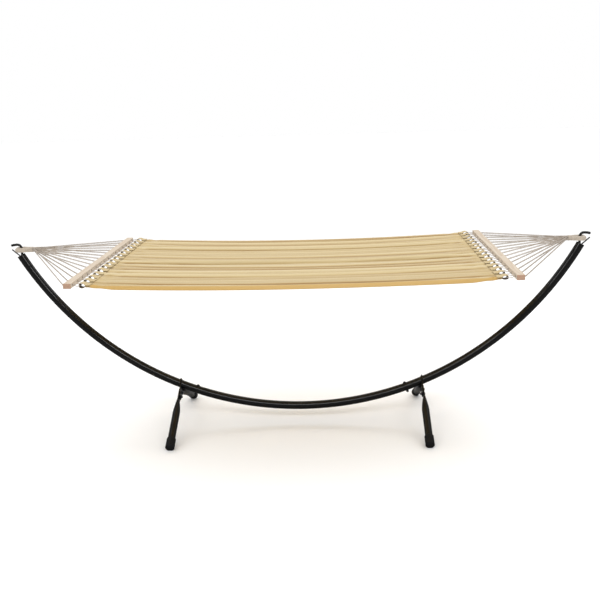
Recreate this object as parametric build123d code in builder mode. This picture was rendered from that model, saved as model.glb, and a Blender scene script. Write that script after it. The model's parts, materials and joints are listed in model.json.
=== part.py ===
from build123d import *
import os
from math import asin, atan, cos, degrees, pi, radians, sin, tan

# Spreader-bar hammock hung on an arc-shaped steel stand.
# Frame: the origin is on the floor under the middle of the stand, +X runs along the hammock,
# +Y across it towards the back, +Z up. Everything is in millimetres.
# "u" below is a distance from the middle along the hammock, the same for both ends,
# and "side" is -1 for the left end and +1 for the right end.

# --- Arc: three bent tubes, the arms pushed over swaged ends of the centre one ---
TUBE_D = 42.0
TUBE_WALL = 1.5
TUBE_BORE = TUBE_D - 2 * TUBE_WALL
ARC_RADIUS = 1622.0
ARC_LOW_Z = 90.0
ARC_CENTRE_Z = ARC_LOW_Z + ARC_RADIUS
TIP_ANGLE = 61.2
JOINT_ANGLE = 18.8
SPIGOT_ANGLE = 3.4
SHOULDER_ANGLE = 0.3
JOINT_GAP_ANGLE = 0.04
SPIGOT_PLAY = 0.05
SPIGOT_D = TUBE_BORE - 2 * SPIGOT_PLAY
SHORT_ARC = 3.0

# --- Fasteners: M8 bolts, washers and nuts ---
BOLT_D = 8.0
BOLT_HOLE_D = 8.6
HEAD_D = 15.0
HEAD_H = 4.5
HEAD_RIM = 1.0
NUT_FLATS = 13.0
NUT_H = 6.5
NUT_PLAY = 0.05
THREAD_BEYOND_NUT = 3.0
WASHER_D = 17.0
WASHER_T = 1.6
SADDLE_D = 16.0
SADDLE_H = 2.0
JOINT_BOLT_ANGLE = 19.95

# --- Hook: a bent rod and a keeper prong on the plate that closes the arm ---
HOOK_ROD_D = 12.8
HOOK_STEM_U = 1416.6
HOOK_BEND_R = 20.0
HOOK_TOP_Z = 988.0
HOOK_ROOT_Z = 925.0
HOOK_END_U = 1469.0
HOOK_END_Z = 983.0
HOOK_END_ROUNDING = 4.5
END_PLATE_T = 2.5
PRONG_D = 6.5
PRONG_ROOT = (1424.5, 926.0)
PRONG_END = (1467.0, 963.5)
PRONG_ROUNDING = 2.6

# --- Leg brackets and legs ---
BRACKET_X = 636.0
BRACKET_ANGLE = degrees(asin(BRACKET_X / ARC_RADIUS))
BRACKET_T = 6.0
BRACKET_APEX_Z = 254.0
BRACKET_SHOULDER = (36.0, 220.0)
BRACKET_WING_TOP = (68.0, 180.0)
BRACKET_WING_FOOT = (61.0, 147.0)
BRACKET_KEEL_Z = 156.0
BRACKET_ROUNDING = 8.0
LEG_D = 38.0
LEG_BORE = LEG_D - 2 * TUBE_WALL
LEG_FLAT_T = 4.0
LEG_FLAT_W = 52.0
LEG_X = BRACKET_X + BRACKET_T / 2 + LEG_FLAT_T / 2
LEG_TOP = (30.0, 178.0)
LEG_FOOT = (370.0, 17.5)
LEG_FLAT_END = 40.0
LEG_ROUND_START = 140.0
LEG_PINCHED = (13.0, 22.5)
LEG_BOLTS = (-4.0, 28.0)

# --- Foot caps ---
CAP_D = 46.0
CAP_SLEEVE = 56.0
CAP_WALL = 4.0
CAP_CHAMFER = 4.0
CAP_LIP = 1.5
CAP_PLAY = 0.05

# --- Spreader bars ---
BAR_U = 1000.0
BAR_WIDTH = 36.0
BAR_HEIGHT = 24.0
BAR_LENGTH = 1200.0
BAR_Z = 899.5
BAR_ROUNDING = 3.0
BAR_HOLE_D = 9.6
BAR_HOLE_CHAMFER = 1.2
CORD_COUNT = 16
CORD_PITCH = 76.0

# --- Eye: the whipped rope loop that sits on the hook; the hammock swings about its axis ---
SWING_Z = 962.0
EYE_ROPE_D = 21.0
EYE_HALF_WIDTH = 20.6
EYE_OUTER_U = 1435.0
EYE_FLARE_U = 1402.0
EYE_THROAT_U = 1386.0
EYE_THROAT_Y = 11.6
EYE_BENDS = (14.0, 28.0, 20.4, 20.4, 28.0, 14.0)
WHIPPING_OUTER_U = 1378.0
WHIPPING_INNER_U = 1358.0
WHIPPING_OUTER = (24.0, 12.5)
WHIPPING_INNER_R = 14.2

# --- Suspension cords: each runs from the whipping through its hole, through a tab and back ---
CORD_D = 3.6
CORD_GAP = 3.9
FAN_COLUMNS = (2, 3, 3, 3, 3, 2)
FAN_START = 9.0
HOLE_CORD_GAP = 4.3
MOUTH = 8.0
TAB_ENTRY = 7.0
CORD_BENDS = (14.0, 8.0, 8.0, 6.0, 5.0)
LOOP_SHOULDER = (957.0, 27.5, 0.8)
LOOP_CORNER = (943.5, 24.0)

# --- Fabric bed with one sewn tab per cord at each end ---
BED_U = 905.0
BED_WIDTH = 1184.0
BED_T = 2.5
BED_SAG = 28.0
TAB_TIP_U = 948.5
TAB_OVERLAP = 2.5
TAB_HEIGHT = 13.0
TAB_WALL = 2.0
TAB_WIDTH = 42.0

os.makedirs("parts", exist_ok=True)


def save(builder, name):
    """Label a finished part and write it as its own STEP file."""
    builder.part.label = name
    export_step(builder.part, f"parts/{name}.step")


def side_name(side):
    return "left" if side < 0 else "right"


# ---------------------------------------------------------------------------------------------
# Arc tubes
# ---------------------------------------------------------------------------------------------


def inward(angle):
    """Direction from the tube towards the arc's centre, at an angle from straight down."""
    return Vector(-sin(radians(angle)), 0, cos(radians(angle)))


def on_arc(angle):
    """Point on the tube's centre line, at an angle from straight down, positive to +X."""
    return Vector(0, 0, ARC_CENTRE_Z) - inward(angle) * ARC_RADIUS


def across_tube(angle):
    """Plane square across the tube."""
    return Plane(on_arc(angle), x_dir=(0, 1, 0), z_dir=(cos(radians(angle)), 0, sin(radians(angle))))


def tube_side(angle, height):
    """Plane beside the tube, at a height over its centre line, facing the arc's centre."""
    return Plane(on_arc(angle) + inward(angle) * height, x_dir=(0, 1, 0), z_dir=inward(angle))


def bend_along_arc(start, end, outer, inner=0.0, mode=Mode.ADD):
    """Add or cut a round or hollow bar that follows the arc from one angle to another."""
    with BuildSketch(across_tube(start)) as section:
        Circle(outer / 2)
        if inner:
            Circle(inner / 2, mode=Mode.SUBTRACT)
    centre = Axis((0, 0, ARC_CENTRE_Z), (0, -1, 0))
    revolve(section.sketch, axis=centre, revolution_arc=end - start, mode=mode)


def drill_joint(angle):
    """Drill the joint bolt's hole through both walls of the tube."""
    with BuildSketch(tube_side(angle, -TUBE_D)) as hole:
        Circle(BOLT_HOLE_D / 2)
    extrude(hole.sketch, amount=2 * TUBE_D, mode=Mode.SUBTRACT)


def build_centre_tube():
    """Middle of the arc, with both ends swaged down to slide into the arms."""
    spigot_end = JOINT_ANGLE + SPIGOT_ANGLE
    shoulder = JOINT_ANGLE - SHOULDER_ANGLE
    with BuildPart() as tube:
        bend_along_arc(-spigot_end, spigot_end, SPIGOT_D)
        bend_along_arc(-JOINT_ANGLE, JOINT_ANGLE, TUBE_D)
        bend_along_arc(-shoulder, shoulder, TUBE_BORE, mode=Mode.SUBTRACT)
        bend_along_arc(-spigot_end, spigot_end, SPIGOT_D - 2 * TUBE_WALL, mode=Mode.SUBTRACT)
        for sign in (-1, 1):
            drill_joint(sign * JOINT_BOLT_ANGLE)
    save(tube, "arc_centre_tube")


def build_arm_tube(side):
    """One arm of the arc, from the joint to the hook."""
    angles = sorted((side * (JOINT_ANGLE + JOINT_GAP_ANGLE), side * TIP_ANGLE))
    with BuildPart() as tube:
        bend_along_arc(*angles, TUBE_D, TUBE_BORE)
        drill_joint(side * JOINT_BOLT_ANGLE)
    save(tube, f"arc_{side_name(side)}_arm")


def build_joint_fasteners():
    """Bolts, saddle washers and nuts that lock both arms on the centre tube."""
    half_grip = TUBE_D / 2 + SADDLE_H
    with BuildPart() as washers:
        for sign in (-1, 1):
            angle = sign * JOINT_BOLT_ANGLE
            with BuildSketch(tube_side(angle, -half_grip)):
                Circle(SADDLE_D / 2)
                Circle(BOLT_HOLE_D / 2, mode=Mode.SUBTRACT)
            extrude(amount=2 * half_grip)
        for sign in (-1, 1):
            angle = sign * JOINT_BOLT_ANGLE
            bend_along_arc(angle - SHORT_ARC, angle + SHORT_ARC, TUBE_D, mode=Mode.SUBTRACT)
    save(washers, "joint_saddle_washers")

    with BuildPart() as bolts:
        for sign in (-1, 1):
            head = tube_side(sign * JOINT_BOLT_ANGLE, half_grip)
            add_bolt(head, 2 * half_grip + NUT_H + THREAD_BEYOND_NUT)
    save(bolts, "joint_bolts")

    with BuildPart() as nuts:
        for sign in (-1, 1):
            add_nut(tube_side(sign * JOINT_BOLT_ANGLE, -half_grip - NUT_H))
    save(nuts, "joint_nuts")


# ---------------------------------------------------------------------------------------------
# Fasteners
# ---------------------------------------------------------------------------------------------


def add_bolt(seat, length):
    """Domed bolt whose head stands on the seat plane and whose shank goes down through it."""
    with BuildSketch(seat) as shank:
        Circle(BOLT_D / 2)
    extrude(shank.sketch, amount=-length)
    with BuildSketch(seat) as disc:
        Circle(HEAD_D / 2)
    head = extrude(disc.sketch, amount=HEAD_H)
    rim = head.edges().filter_by(GeomType.CIRCLE).sort_by(Axis(seat.origin, seat.z_dir))[-1]
    fillet(rim, HEAD_H - HEAD_RIM)


def add_nut(seat):
    """Hexagon nut that stands on the seat plane, with its hole clear of the bolt."""
    with BuildSketch(seat) as hexagon:
        RegularPolygon(NUT_FLATS / 2, 6, major_radius=False)
        Circle(BOLT_D / 2 + NUT_PLAY, mode=Mode.SUBTRACT)
    extrude(hexagon.sketch, amount=NUT_H)


def add_washer(seat):
    """Flat washer that stands on the seat plane."""
    with BuildSketch(seat) as ring:
        Circle(WASHER_D / 2)
        Circle(BOLT_HOLE_D / 2, mode=Mode.SUBTRACT)
    extrude(ring.sketch, amount=WASHER_T)


# ---------------------------------------------------------------------------------------------
# Hooks
# ---------------------------------------------------------------------------------------------


def build_hook(side):
    """Closing plate, bent hook rod that opens outwards, and the keeper prong under its mouth."""
    root = (side * HOOK_STEM_U, HOOK_ROOT_Z)
    bend_start = (side * HOOK_STEM_U, HOOK_TOP_Z - HOOK_BEND_R)
    bend_end_u = HOOK_STEM_U + HOOK_BEND_R
    with BuildPart() as hook:
        with BuildLine(Plane.XZ) as rod:
            stem = Line(root, bend_start)
            bend = TangentArc(bend_start, (side * bend_end_u, HOOK_TOP_Z), tangent=stem % 1)
            TangentArc(bend @ 1, (side * HOOK_END_U, HOOK_END_Z), tangent=bend % 1)
        with BuildSketch(Plane((root[0], 0, root[1]))):
            Circle(HOOK_ROD_D / 2)
        sweep(path=rod.wires()[0])
        rims = hook.edges().filter_by(GeomType.CIRCLE).sort_by(Axis.X, reverse=side < 0)
        fillet(rims[-1], HOOK_END_ROUNDING)

        with BuildLine(Plane.XZ) as prong:
            Line((side * PRONG_ROOT[0], PRONG_ROOT[1]), (side * PRONG_END[0], PRONG_END[1]))
        prong_line = prong.edges()[0]
        with BuildSketch(Plane(prong_line @ 0, z_dir=prong_line % 0)):
            Circle(PRONG_D / 2)
        prong_rod = sweep(path=prong_line)
        tip_edge = prong_rod.edges().filter_by(GeomType.CIRCLE).sort_by(Axis.Z)[-1]
        fillet(tip_edge, PRONG_ROUNDING)

        with BuildSketch(across_tube(side * TIP_ANGLE)):
            Circle(TUBE_D / 2)
        extrude(amount=side * END_PLATE_T)
    save(hook, f"{side_name(side)}_hook")


# ---------------------------------------------------------------------------------------------
# Brackets, legs and foot caps
# ---------------------------------------------------------------------------------------------


def leg_plane(side, end):
    """Plane across a leg at its top: local x is the stand's +X, the normal runs to the foot."""
    top = Vector(side * LEG_X, end * LEG_TOP[0], LEG_TOP[1])
    foot = Vector(side * LEG_X, end * LEG_FOOT[0], LEG_FOOT[1])
    return Plane(top, x_dir=(1, 0, 0), z_dir=foot - top)


def leg_length():
    return (Vector(*LEG_FOOT) - Vector(*LEG_TOP)).length


def bolt_seat(side, end, distance, x):
    """Plane at a leg bolt, at a given x, facing away from the middle of the stand."""
    on_leg = leg_plane(side, end).offset(distance).origin
    return Plane((side * x, on_leg.Y, on_leg.Z), x_dir=(0, 1, 0), z_dir=(side, 0, 0))


def leg_bolt_places():
    """Side, end and distance down the leg of each leg bolt."""
    return [(side, end, at) for side in (-1, 1) for end in (-1, 1) for at in LEG_BOLTS]


def build_bracket(side):
    """Upright gusset plate welded round the arc tube, that both legs of one end bolt to."""
    half = [BRACKET_SHOULDER, BRACKET_WING_TOP, BRACKET_WING_FOOT]
    outline = [(0, BRACKET_APEX_Z), *half, (0, BRACKET_KEEL_Z)]
    outline += [(-y, z) for y, z in reversed(half)]
    face = Plane((side * BRACKET_X, 0, 0), x_dir=(0, 1, 0), z_dir=(1, 0, 0))
    with BuildPart() as bracket:
        with BuildSketch(face) as plate:
            with BuildLine():
                Polyline(*outline, close=True)
            make_face()
            fillet(plate.vertices(), BRACKET_ROUNDING)
        extrude(amount=BRACKET_T / 2, both=True)
        for end in (-1, 1):
            for at in LEG_BOLTS:
                with BuildSketch(bolt_seat(side, end, at, BRACKET_X)):
                    Circle(BOLT_HOLE_D / 2)
                extrude(amount=BRACKET_T, both=True, mode=Mode.SUBTRACT)
        middle = side * BRACKET_ANGLE
        bend_along_arc(middle - SHORT_ARC, middle + SHORT_ARC, TUBE_D, mode=Mode.SUBTRACT)
    save(bracket, f"{side_name(side)}_leg_bracket")


def leg_skin(plane, wall):
    """Loft from the pinched flat to the round tube, drawn in by the wall where it is a hollow."""
    middle = (LEG_FLAT_END + LEG_ROUND_START) / 2
    with BuildSketch(plane.offset(LEG_FLAT_END)) as flat:
        Ellipse(LEG_FLAT_T / 2 - wall / 2, LEG_FLAT_W / 2 - wall)
    with BuildSketch(plane.offset(middle)) as pinched:
        Ellipse(LEG_PINCHED[0] - wall, LEG_PINCHED[1] - wall)
    with BuildSketch(plane.offset(LEG_ROUND_START)) as round_end:
        Circle(LEG_D / 2 - wall)
    sections = [flat.sketch, pinched.sketch, round_end.sketch]
    loft(sections, mode=Mode.SUBTRACT if wall else Mode.ADD)


def build_leg(side, end):
    """Round tube whose upper end is pinched flat and bolted to the bracket."""
    plane = leg_plane(side, end)
    with BuildPart() as leg:
        flat = Plane(plane.origin, x_dir=plane.z_dir, z_dir=(1, 0, 0))
        with BuildSketch(flat):
            Circle(LEG_FLAT_W / 2)
            with Locations((LEG_FLAT_END / 2, 0)):
                Rectangle(LEG_FLAT_END, LEG_FLAT_W)
        extrude(amount=LEG_FLAT_T / 2, both=True)
        leg_skin(plane, 0.0)
        leg_skin(plane, TUBE_WALL)
        with BuildSketch(plane.offset(LEG_ROUND_START)):
            Circle(LEG_D / 2)
            Circle(LEG_BORE / 2, mode=Mode.SUBTRACT)
        extrude(amount=leg_length() - LEG_ROUND_START)
        for at in LEG_BOLTS:
            with BuildSketch(bolt_seat(side, end, at, LEG_X)):
                Circle(BOLT_HOLE_D / 2)
            extrude(amount=LEG_FLAT_T, both=True, mode=Mode.SUBTRACT)
    save(leg, f"{side_name(side)}_{end_name(end)}_leg")


def build_foot_cap(side, end):
    """Plastic sleeve over the leg's lower end, its rim cut flat where it stands on the floor."""
    plane = leg_plane(side, end)
    length = leg_length()
    with BuildPart() as cap:
        with BuildSketch(plane.offset(length - CAP_SLEEVE)):
            Circle(CAP_D / 2)
        extrude(amount=CAP_SLEEVE + CAP_WALL)
        down_leg = Axis(plane.origin, plane.z_dir)
        chamfer(cap.edges().filter_by(GeomType.CIRCLE).sort_by(down_leg)[-1], CAP_CHAMFER)
        chamfer(cap.edges().filter_by(GeomType.CIRCLE).sort_by(down_leg)[0], CAP_LIP)
        with BuildSketch(plane.offset(length - CAP_SLEEVE)):
            Circle(LEG_D / 2 + CAP_PLAY)
        extrude(amount=CAP_SLEEVE, mode=Mode.SUBTRACT)
        split(bisect_by=Plane.XY, keep=Keep.TOP)
    save(cap, f"{side_name(side)}_{end_name(end)}_foot_cap")


def end_name(end):
    return "front" if end < 0 else "rear"


def build_leg_fasteners():
    """Bolts through each leg and its bracket, with a washer under every head and nut."""
    outer_x = LEG_X + LEG_FLAT_T / 2
    inner_x = BRACKET_X - BRACKET_T / 2
    length = outer_x - inner_x + 2 * WASHER_T + NUT_H + THREAD_BEYOND_NUT
    with BuildPart() as bolts:
        for place in leg_bolt_places():
            add_bolt(bolt_seat(*place, outer_x + WASHER_T), length)
    save(bolts, "leg_bolts")
    with BuildPart() as washers:
        for place in leg_bolt_places():
            add_washer(bolt_seat(*place, outer_x))
            add_washer(bolt_seat(*place, inner_x - WASHER_T))
    save(washers, "leg_washers")
    with BuildPart() as nuts:
        for place in leg_bolt_places():
            add_nut(bolt_seat(*place, inner_x - WASHER_T - NUT_H))
    save(nuts, "leg_nuts")


# ---------------------------------------------------------------------------------------------
# Spreader bars
# ---------------------------------------------------------------------------------------------


def cord_y(index):
    """Place of a cord's hole along the bar, counted from the front."""
    return (index - (CORD_COUNT - 1) / 2) * CORD_PITCH


def build_spreader_bar(side):
    """Planed wooden bar with a chamfered hole right through it for each cord."""
    with BuildPart() as bar:
        with Locations((side * BAR_U, 0, BAR_Z)):
            Box(BAR_WIDTH, BAR_LENGTH, BAR_HEIGHT)
        fillet(bar.edges(), BAR_ROUNDING)
        outer_face = Plane((side * (BAR_U + BAR_WIDTH / 2), 0, BAR_Z), x_dir=(0, 1, 0), z_dir=(side, 0, 0))
        with BuildSketch(outer_face):
            with Locations(*[(cord_y(index), 0) for index in range(CORD_COUNT)]):
                Circle(BAR_HOLE_D / 2)
        extrude(amount=-BAR_WIDTH, mode=Mode.SUBTRACT)
        mouths = bar.edges().filter_by(GeomType.CIRCLE).filter_by(
            lambda edge: abs(edge.radius - BAR_HOLE_D / 2) < 0.01
        )
        chamfer(mouths, BAR_HOLE_CHAMFER)
    save(bar, f"{side_name(side)}_spreader_bar")


# ---------------------------------------------------------------------------------------------
# Eyes, whippings and suspension cords
# ---------------------------------------------------------------------------------------------


def build_eye(side):
    """Rope loop round the hook's stem; both legs of it end at the whipping."""
    half = [
        (WHIPPING_OUTER_U, EYE_THROAT_Y),
        (EYE_THROAT_U, EYE_THROAT_Y),
        (EYE_FLARE_U, EYE_HALF_WIDTH),
        (EYE_OUTER_U, EYE_HALF_WIDTH),
    ]
    route = [Vector(side * u, -y, SWING_Z) for u, y in half]
    route += [Vector(side * u, y, SWING_Z) for u, y in reversed(half)]
    with BuildPart() as eye:
        with BuildLine() as path:
            FilletPolyline(*route, radius=list(EYE_BENDS))
        with BuildSketch(Plane(route[0], z_dir=(side, 0, 0))):
            Circle(EYE_ROPE_D / 2)
        sweep(path=path.wires()[0])
    save(eye, f"{side_name(side)}_eye")


def build_whipping(side):
    """Tight binding that gathers the eye's two legs and all the cords into one neck."""
    with BuildPart() as whipping:
        for u, radii in (
            (WHIPPING_OUTER_U, WHIPPING_OUTER),
            (WHIPPING_INNER_U, (WHIPPING_INNER_R, WHIPPING_INNER_R)),
        ):
            with BuildSketch(Plane((side * u, 0, SWING_Z), x_dir=(0, 1, 0), z_dir=(1, 0, 0))):
                Ellipse(*radii)
        loft()
    save(whipping, f"{side_name(side)}_whipping")


def neck_places():
    """Where each cord's pair of strands leaves the whipping, as (y, z), from front to back."""
    places = []
    middle = (len(FAN_COLUMNS) - 1) / 2
    for column, count in enumerate(FAN_COLUMNS):
        for row in range(count):
            height = (row - (count - 1) / 2) * 2 * CORD_GAP
            places.append(((column - middle) * CORD_GAP, SWING_Z + height))
    return places


def cord_route(index):
    """Points of one cord, with x for the right-hand end: out, round through its tab and back."""
    hole_y = cord_y(index)
    neck_y, neck_z = neck_places()[index]
    mouth_u = BAR_U + BAR_WIDTH / 2 + MOUTH
    exit_u = BAR_U - BAR_WIDTH / 2 - TAB_ENTRY
    fan_u = WHIPPING_INNER_U - FAN_START
    turn = atan(abs(hole_y - neck_y) / (fan_u - mouth_u))
    widest = (len(FAN_COLUMNS) - 1) / 2 * CORD_GAP
    # Inner cords turn a little later, so that parallel neighbours keep their distance.
    fan_u -= (widest - abs(neck_y)) * tan(turn / 2)
    out, back = [], []
    for strand, way in ((out, 1), (back, -1)):
        strand.append(Vector(WHIPPING_INNER_U, neck_y, neck_z + way * CORD_GAP / 2))
        strand.append(Vector(fan_u, neck_y, neck_z + way * CORD_GAP / 2))
        strand.append(Vector(mouth_u, hole_y, BAR_Z + way * HOLE_CORD_GAP / 2))
        strand.append(Vector(exit_u, hole_y, BAR_Z + way * HOLE_CORD_GAP / 2))
        shoulder_u, spread, rise = LOOP_SHOULDER
        strand.append(Vector(shoulder_u, hole_y + way * spread, BAR_Z + way * rise))
        corner_u, half_width = LOOP_CORNER
        strand.append(Vector(corner_u, hole_y + way * half_width, BAR_Z))
    return out + back[::-1]


def build_cord(side, index):
    """One doubled suspension cord, whole, with its bends at the neck, the holes and the tab."""
    route = [Vector(side * point.X, point.Y, point.Z) for point in cord_route(index)]
    with BuildPart() as cord:
        with BuildLine() as path:
            FilletPolyline(*route, radius=list(CORD_BENDS + CORD_BENDS[::-1]))
        with BuildSketch(Plane(route[0], z_dir=(-side, 0, 0))):
            Circle(CORD_D / 2)
        sweep(path=path.wires()[0])
    save(cord, f"{side_name(side)}_cord_{index + 1:02d}")
    return path.wires()[0].length, cord.part.volume


# ---------------------------------------------------------------------------------------------
# Fabric bed
# ---------------------------------------------------------------------------------------------


def build_fabric_bed():
    """Sheet that sags between the bars, with a sewn tab loop in front of every hole."""
    with BuildPart() as bed:
        with BuildSketch(Plane.XZ):
            with BuildLine():
                half_t = BED_T / 2
                low = BAR_Z - half_t
                high = BAR_Z + half_t
                ThreePointArc((-BED_U, low), (0, low - BED_SAG), (BED_U, low))
                Line((BED_U, low), (BED_U, high))
                ThreePointArc((BED_U, high), (0, high - BED_SAG), (-BED_U, high))
                Line((-BED_U, high), (-BED_U, low))
            make_face()
        extrude(amount=BED_WIDTH / 2, both=True)

        tab_length = TAB_TIP_U - BED_U + TAB_OVERLAP
        for side in (-1, 1):
            for index in range(CORD_COUNT):
                tab_u = TAB_TIP_U - tab_length / 2
                tab_plane = Plane((side * tab_u, cord_y(index), BAR_Z), x_dir=(1, 0, 0), z_dir=(0, -1, 0))
                with BuildSketch(tab_plane):
                    SlotOverall(tab_length, TAB_HEIGHT)
                    SlotOverall(tab_length - 2 * TAB_WALL, TAB_HEIGHT - 2 * TAB_WALL, mode=Mode.SUBTRACT)
                extrude(amount=TAB_WIDTH / 2, both=True)
    save(bed, "fabric_bed")


# ---------------------------------------------------------------------------------------------
# The whole hammock and stand
# ---------------------------------------------------------------------------------------------

build_centre_tube()
build_joint_fasteners()
build_leg_fasteners()
build_fabric_bed()
for end_side in (-1, 1):
    build_arm_tube(end_side)
    build_hook(end_side)
    build_bracket(end_side)
    for leg_end in (-1, 1):
        build_leg(end_side, leg_end)
        build_foot_cap(end_side, leg_end)
    build_spreader_bar(end_side)
    build_eye(end_side)
    build_whipping(end_side)
    for cord_index in range(CORD_COUNT):
        cord_length, cord_volume = build_cord(end_side, cord_index)
        section = pi * CORD_D**2 / 4
        print(side_name(end_side), cord_index + 1, round(cord_length), round(cord_volume / section))
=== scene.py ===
# %% [markdown]
# # Hammock on an arc stand
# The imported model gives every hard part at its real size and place: bent steel tubes, hooks, legs,
# foot caps and wooden spreader bars. This lesson keeps those parts, gives them finishes, and builds
# the soft goods around them: the cloth bed, its sewn tabs and hems, the cords, the rope eyes.
# All lengths are in metres. "u" is a distance from the middle along the hammock, the same for both
# ends, and "side" is -1 for the left end and +1 for the right end.

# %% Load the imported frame
import json
from math import asin, atan, cos, pi, radians, sin, sqrt, tan

import bpy
import numpy as np
from mathutils import Matrix, Vector


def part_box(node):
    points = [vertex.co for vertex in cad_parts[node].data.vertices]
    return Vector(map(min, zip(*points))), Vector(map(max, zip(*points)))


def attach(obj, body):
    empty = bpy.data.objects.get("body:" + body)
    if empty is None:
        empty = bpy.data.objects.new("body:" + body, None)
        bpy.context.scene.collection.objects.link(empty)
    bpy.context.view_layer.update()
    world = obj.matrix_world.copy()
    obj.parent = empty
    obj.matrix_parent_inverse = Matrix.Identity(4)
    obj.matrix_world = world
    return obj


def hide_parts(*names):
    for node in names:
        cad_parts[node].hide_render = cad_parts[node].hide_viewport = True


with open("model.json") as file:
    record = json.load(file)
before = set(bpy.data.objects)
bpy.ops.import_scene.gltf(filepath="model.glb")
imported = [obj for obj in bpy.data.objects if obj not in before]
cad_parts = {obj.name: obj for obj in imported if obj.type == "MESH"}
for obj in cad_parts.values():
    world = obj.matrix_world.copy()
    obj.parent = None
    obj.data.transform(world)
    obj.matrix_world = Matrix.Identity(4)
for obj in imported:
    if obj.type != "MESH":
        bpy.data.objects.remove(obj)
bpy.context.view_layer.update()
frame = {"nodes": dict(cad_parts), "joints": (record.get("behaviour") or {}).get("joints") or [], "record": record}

nodes = frame["nodes"]
SIDES = (("left", -1), ("right", 1))

# %% [markdown]
# ## The viewpoint
# The camera stands a little over four metres in front, at about eye height, with a 50 mm lens on a
# full-frame sensor. Its right and up directions are worked out from heading, tilt and roll, because
# a rotation matrix built from three named directions is easier to check than Euler angles.

# %% Camera
CAMERA_PLACE = Vector((0.1996, -4.1647, 1.7128))
HEADING = radians(-2.62)
TILT_DOWN = radians(14.08)
ROLL = radians(-1.70)
LENS_MM = 50.0
SENSOR_MM = 36.0

ahead = Vector((sin(HEADING) * cos(TILT_DOWN), cos(HEADING) * cos(TILT_DOWN), -sin(TILT_DOWN)))
level_right = Vector((cos(HEADING), -sin(HEADING), 0.0))
level_up = level_right.cross(ahead)
right = cos(ROLL) * level_right + sin(ROLL) * level_up
up = cos(ROLL) * level_up - sin(ROLL) * level_right

camera_data = bpy.data.cameras.new("camera")
camera_data.lens = LENS_MM
camera_data.sensor_width = SENSOR_MM
camera = bpy.data.objects.new("camera", camera_data)
bpy.context.scene.collection.objects.link(camera)
turn = Matrix((right, up, -ahead)).transposed().to_4x4()
camera.matrix_world = Matrix.Translation(CAMERA_PLACE) @ turn
bpy.context.scene.camera = camera
print("camera looks along", [round(c, 3) for c in ahead])

# %% [markdown]
# ## The places that everything else is built from
# A soft piece must meet the hard ones, so its places are read from the frame: where the bars are,
# how high the hammock's swing axis is, and where each whipping starts and ends.

# %% Places read from the frame
SWING_Z = frame["joints"][0]["pos_m"][2]
bar_low, bar_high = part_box("right_spreader_bar")
BAR_U = (bar_low.x + bar_high.x) / 2
BAR_HALF = (bar_high.x - bar_low.x) / 2
BAR_Z = (bar_low.z + bar_high.z) / 2
neck_low, neck_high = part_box("right_whipping")
NECK_INNER_U = neck_low.x
NECK_OUTER_U = neck_high.x
eye_low, eye_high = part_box("right_eye")
CORD_COUNT = 16
CORD_PITCH = 0.076
CORD_D = 0.0036


def cord_y(index):
    """Place of a cord's hole along the bar, counted from the front."""
    return (index - (CORD_COUNT - 1) / 2) * CORD_PITCH


print("bars at u", round(BAR_U, 4), "z", round(BAR_Z, 4), "swing axis z", SWING_Z)

# %% [markdown]
# ## Helpers for meshes
# Rope, strap, thread and weld bead are all a ring of points carried along a path. One helper keeps
# the ring from spinning as the path bends (parallel transport), a second one skins the rings. A
# smooth path is a NURBS spline of order 3: it touches every leg of its control points at the leg's
# middle, so a taut stretch stays straight and a corner comes out round.

# %% Mesh and path helpers
def add_piece(name, verts, faces, material, body, marks=None):
    """Make a smooth-shaded mesh object that rides on a body; marks are named values per vertex."""
    mesh = bpy.data.meshes.new(name)
    mesh.from_pydata([tuple(v) for v in verts], [], [tuple(f) for f in faces])
    mesh.polygons.foreach_set("use_smooth", [True] * len(mesh.polygons))
    for mark_name, values in (marks or {}).items():
        mark = mesh.attributes.new(mark_name, "FLOAT", "POINT")
        mark.data.foreach_set("value", np.asarray(values, np.float32))
    mesh.materials.append(material)
    piece = bpy.data.objects.new(name, mesh)
    bpy.context.scene.collection.objects.link(piece)
    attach(piece, body)
    return piece


def smooth_route(points, per_leg=10):
    """Points of the order-3 NURBS spline that has the given control points."""
    curve = bpy.data.curves.new("route", "CURVE")
    curve.dimensions = "3D"
    spline = curve.splines.new("NURBS")
    spline.points.add(len(points) - 1)
    for place, point in zip(spline.points, points):
        place.co = (*point, 1.0)
    spline.use_endpoint_u = True
    spline.order_u = 3
    spline.resolution_u = per_leg
    holder = bpy.data.objects.new("route", curve)
    line = bpy.data.meshes.new_from_object(holder)
    found = np.array([v.co[:] for v in line.vertices])
    bpy.data.objects.remove(holder)
    bpy.data.meshes.remove(line)
    bpy.data.curves.remove(curve)
    return found


def even_steps(path, spacing):
    """The same path with its points an even distance apart."""
    gaps = np.linalg.norm(np.diff(path, axis=0), axis=1)
    along = np.concatenate([[0.0], np.cumsum(gaps)])
    count = max(2, round(along[-1] / spacing)) + 1
    wanted = np.linspace(0.0, along[-1], count)
    return np.stack([np.interp(wanted, along, path[:, axis]) for axis in range(3)], axis=1)


def path_frames(path, first_side):
    """Unit side and rise directions at each point, carried along the path without spinning."""
    along = np.gradient(path, axis=0)
    along /= np.linalg.norm(along, axis=1)[:, None]
    side = np.array(first_side, float)
    sides = []
    for direction in along:
        side = side - direction * side.dot(direction)
        side /= np.linalg.norm(side)
        sides.append(side)
    sides = np.array(sides)
    return sides, np.cross(along, sides)


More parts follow.
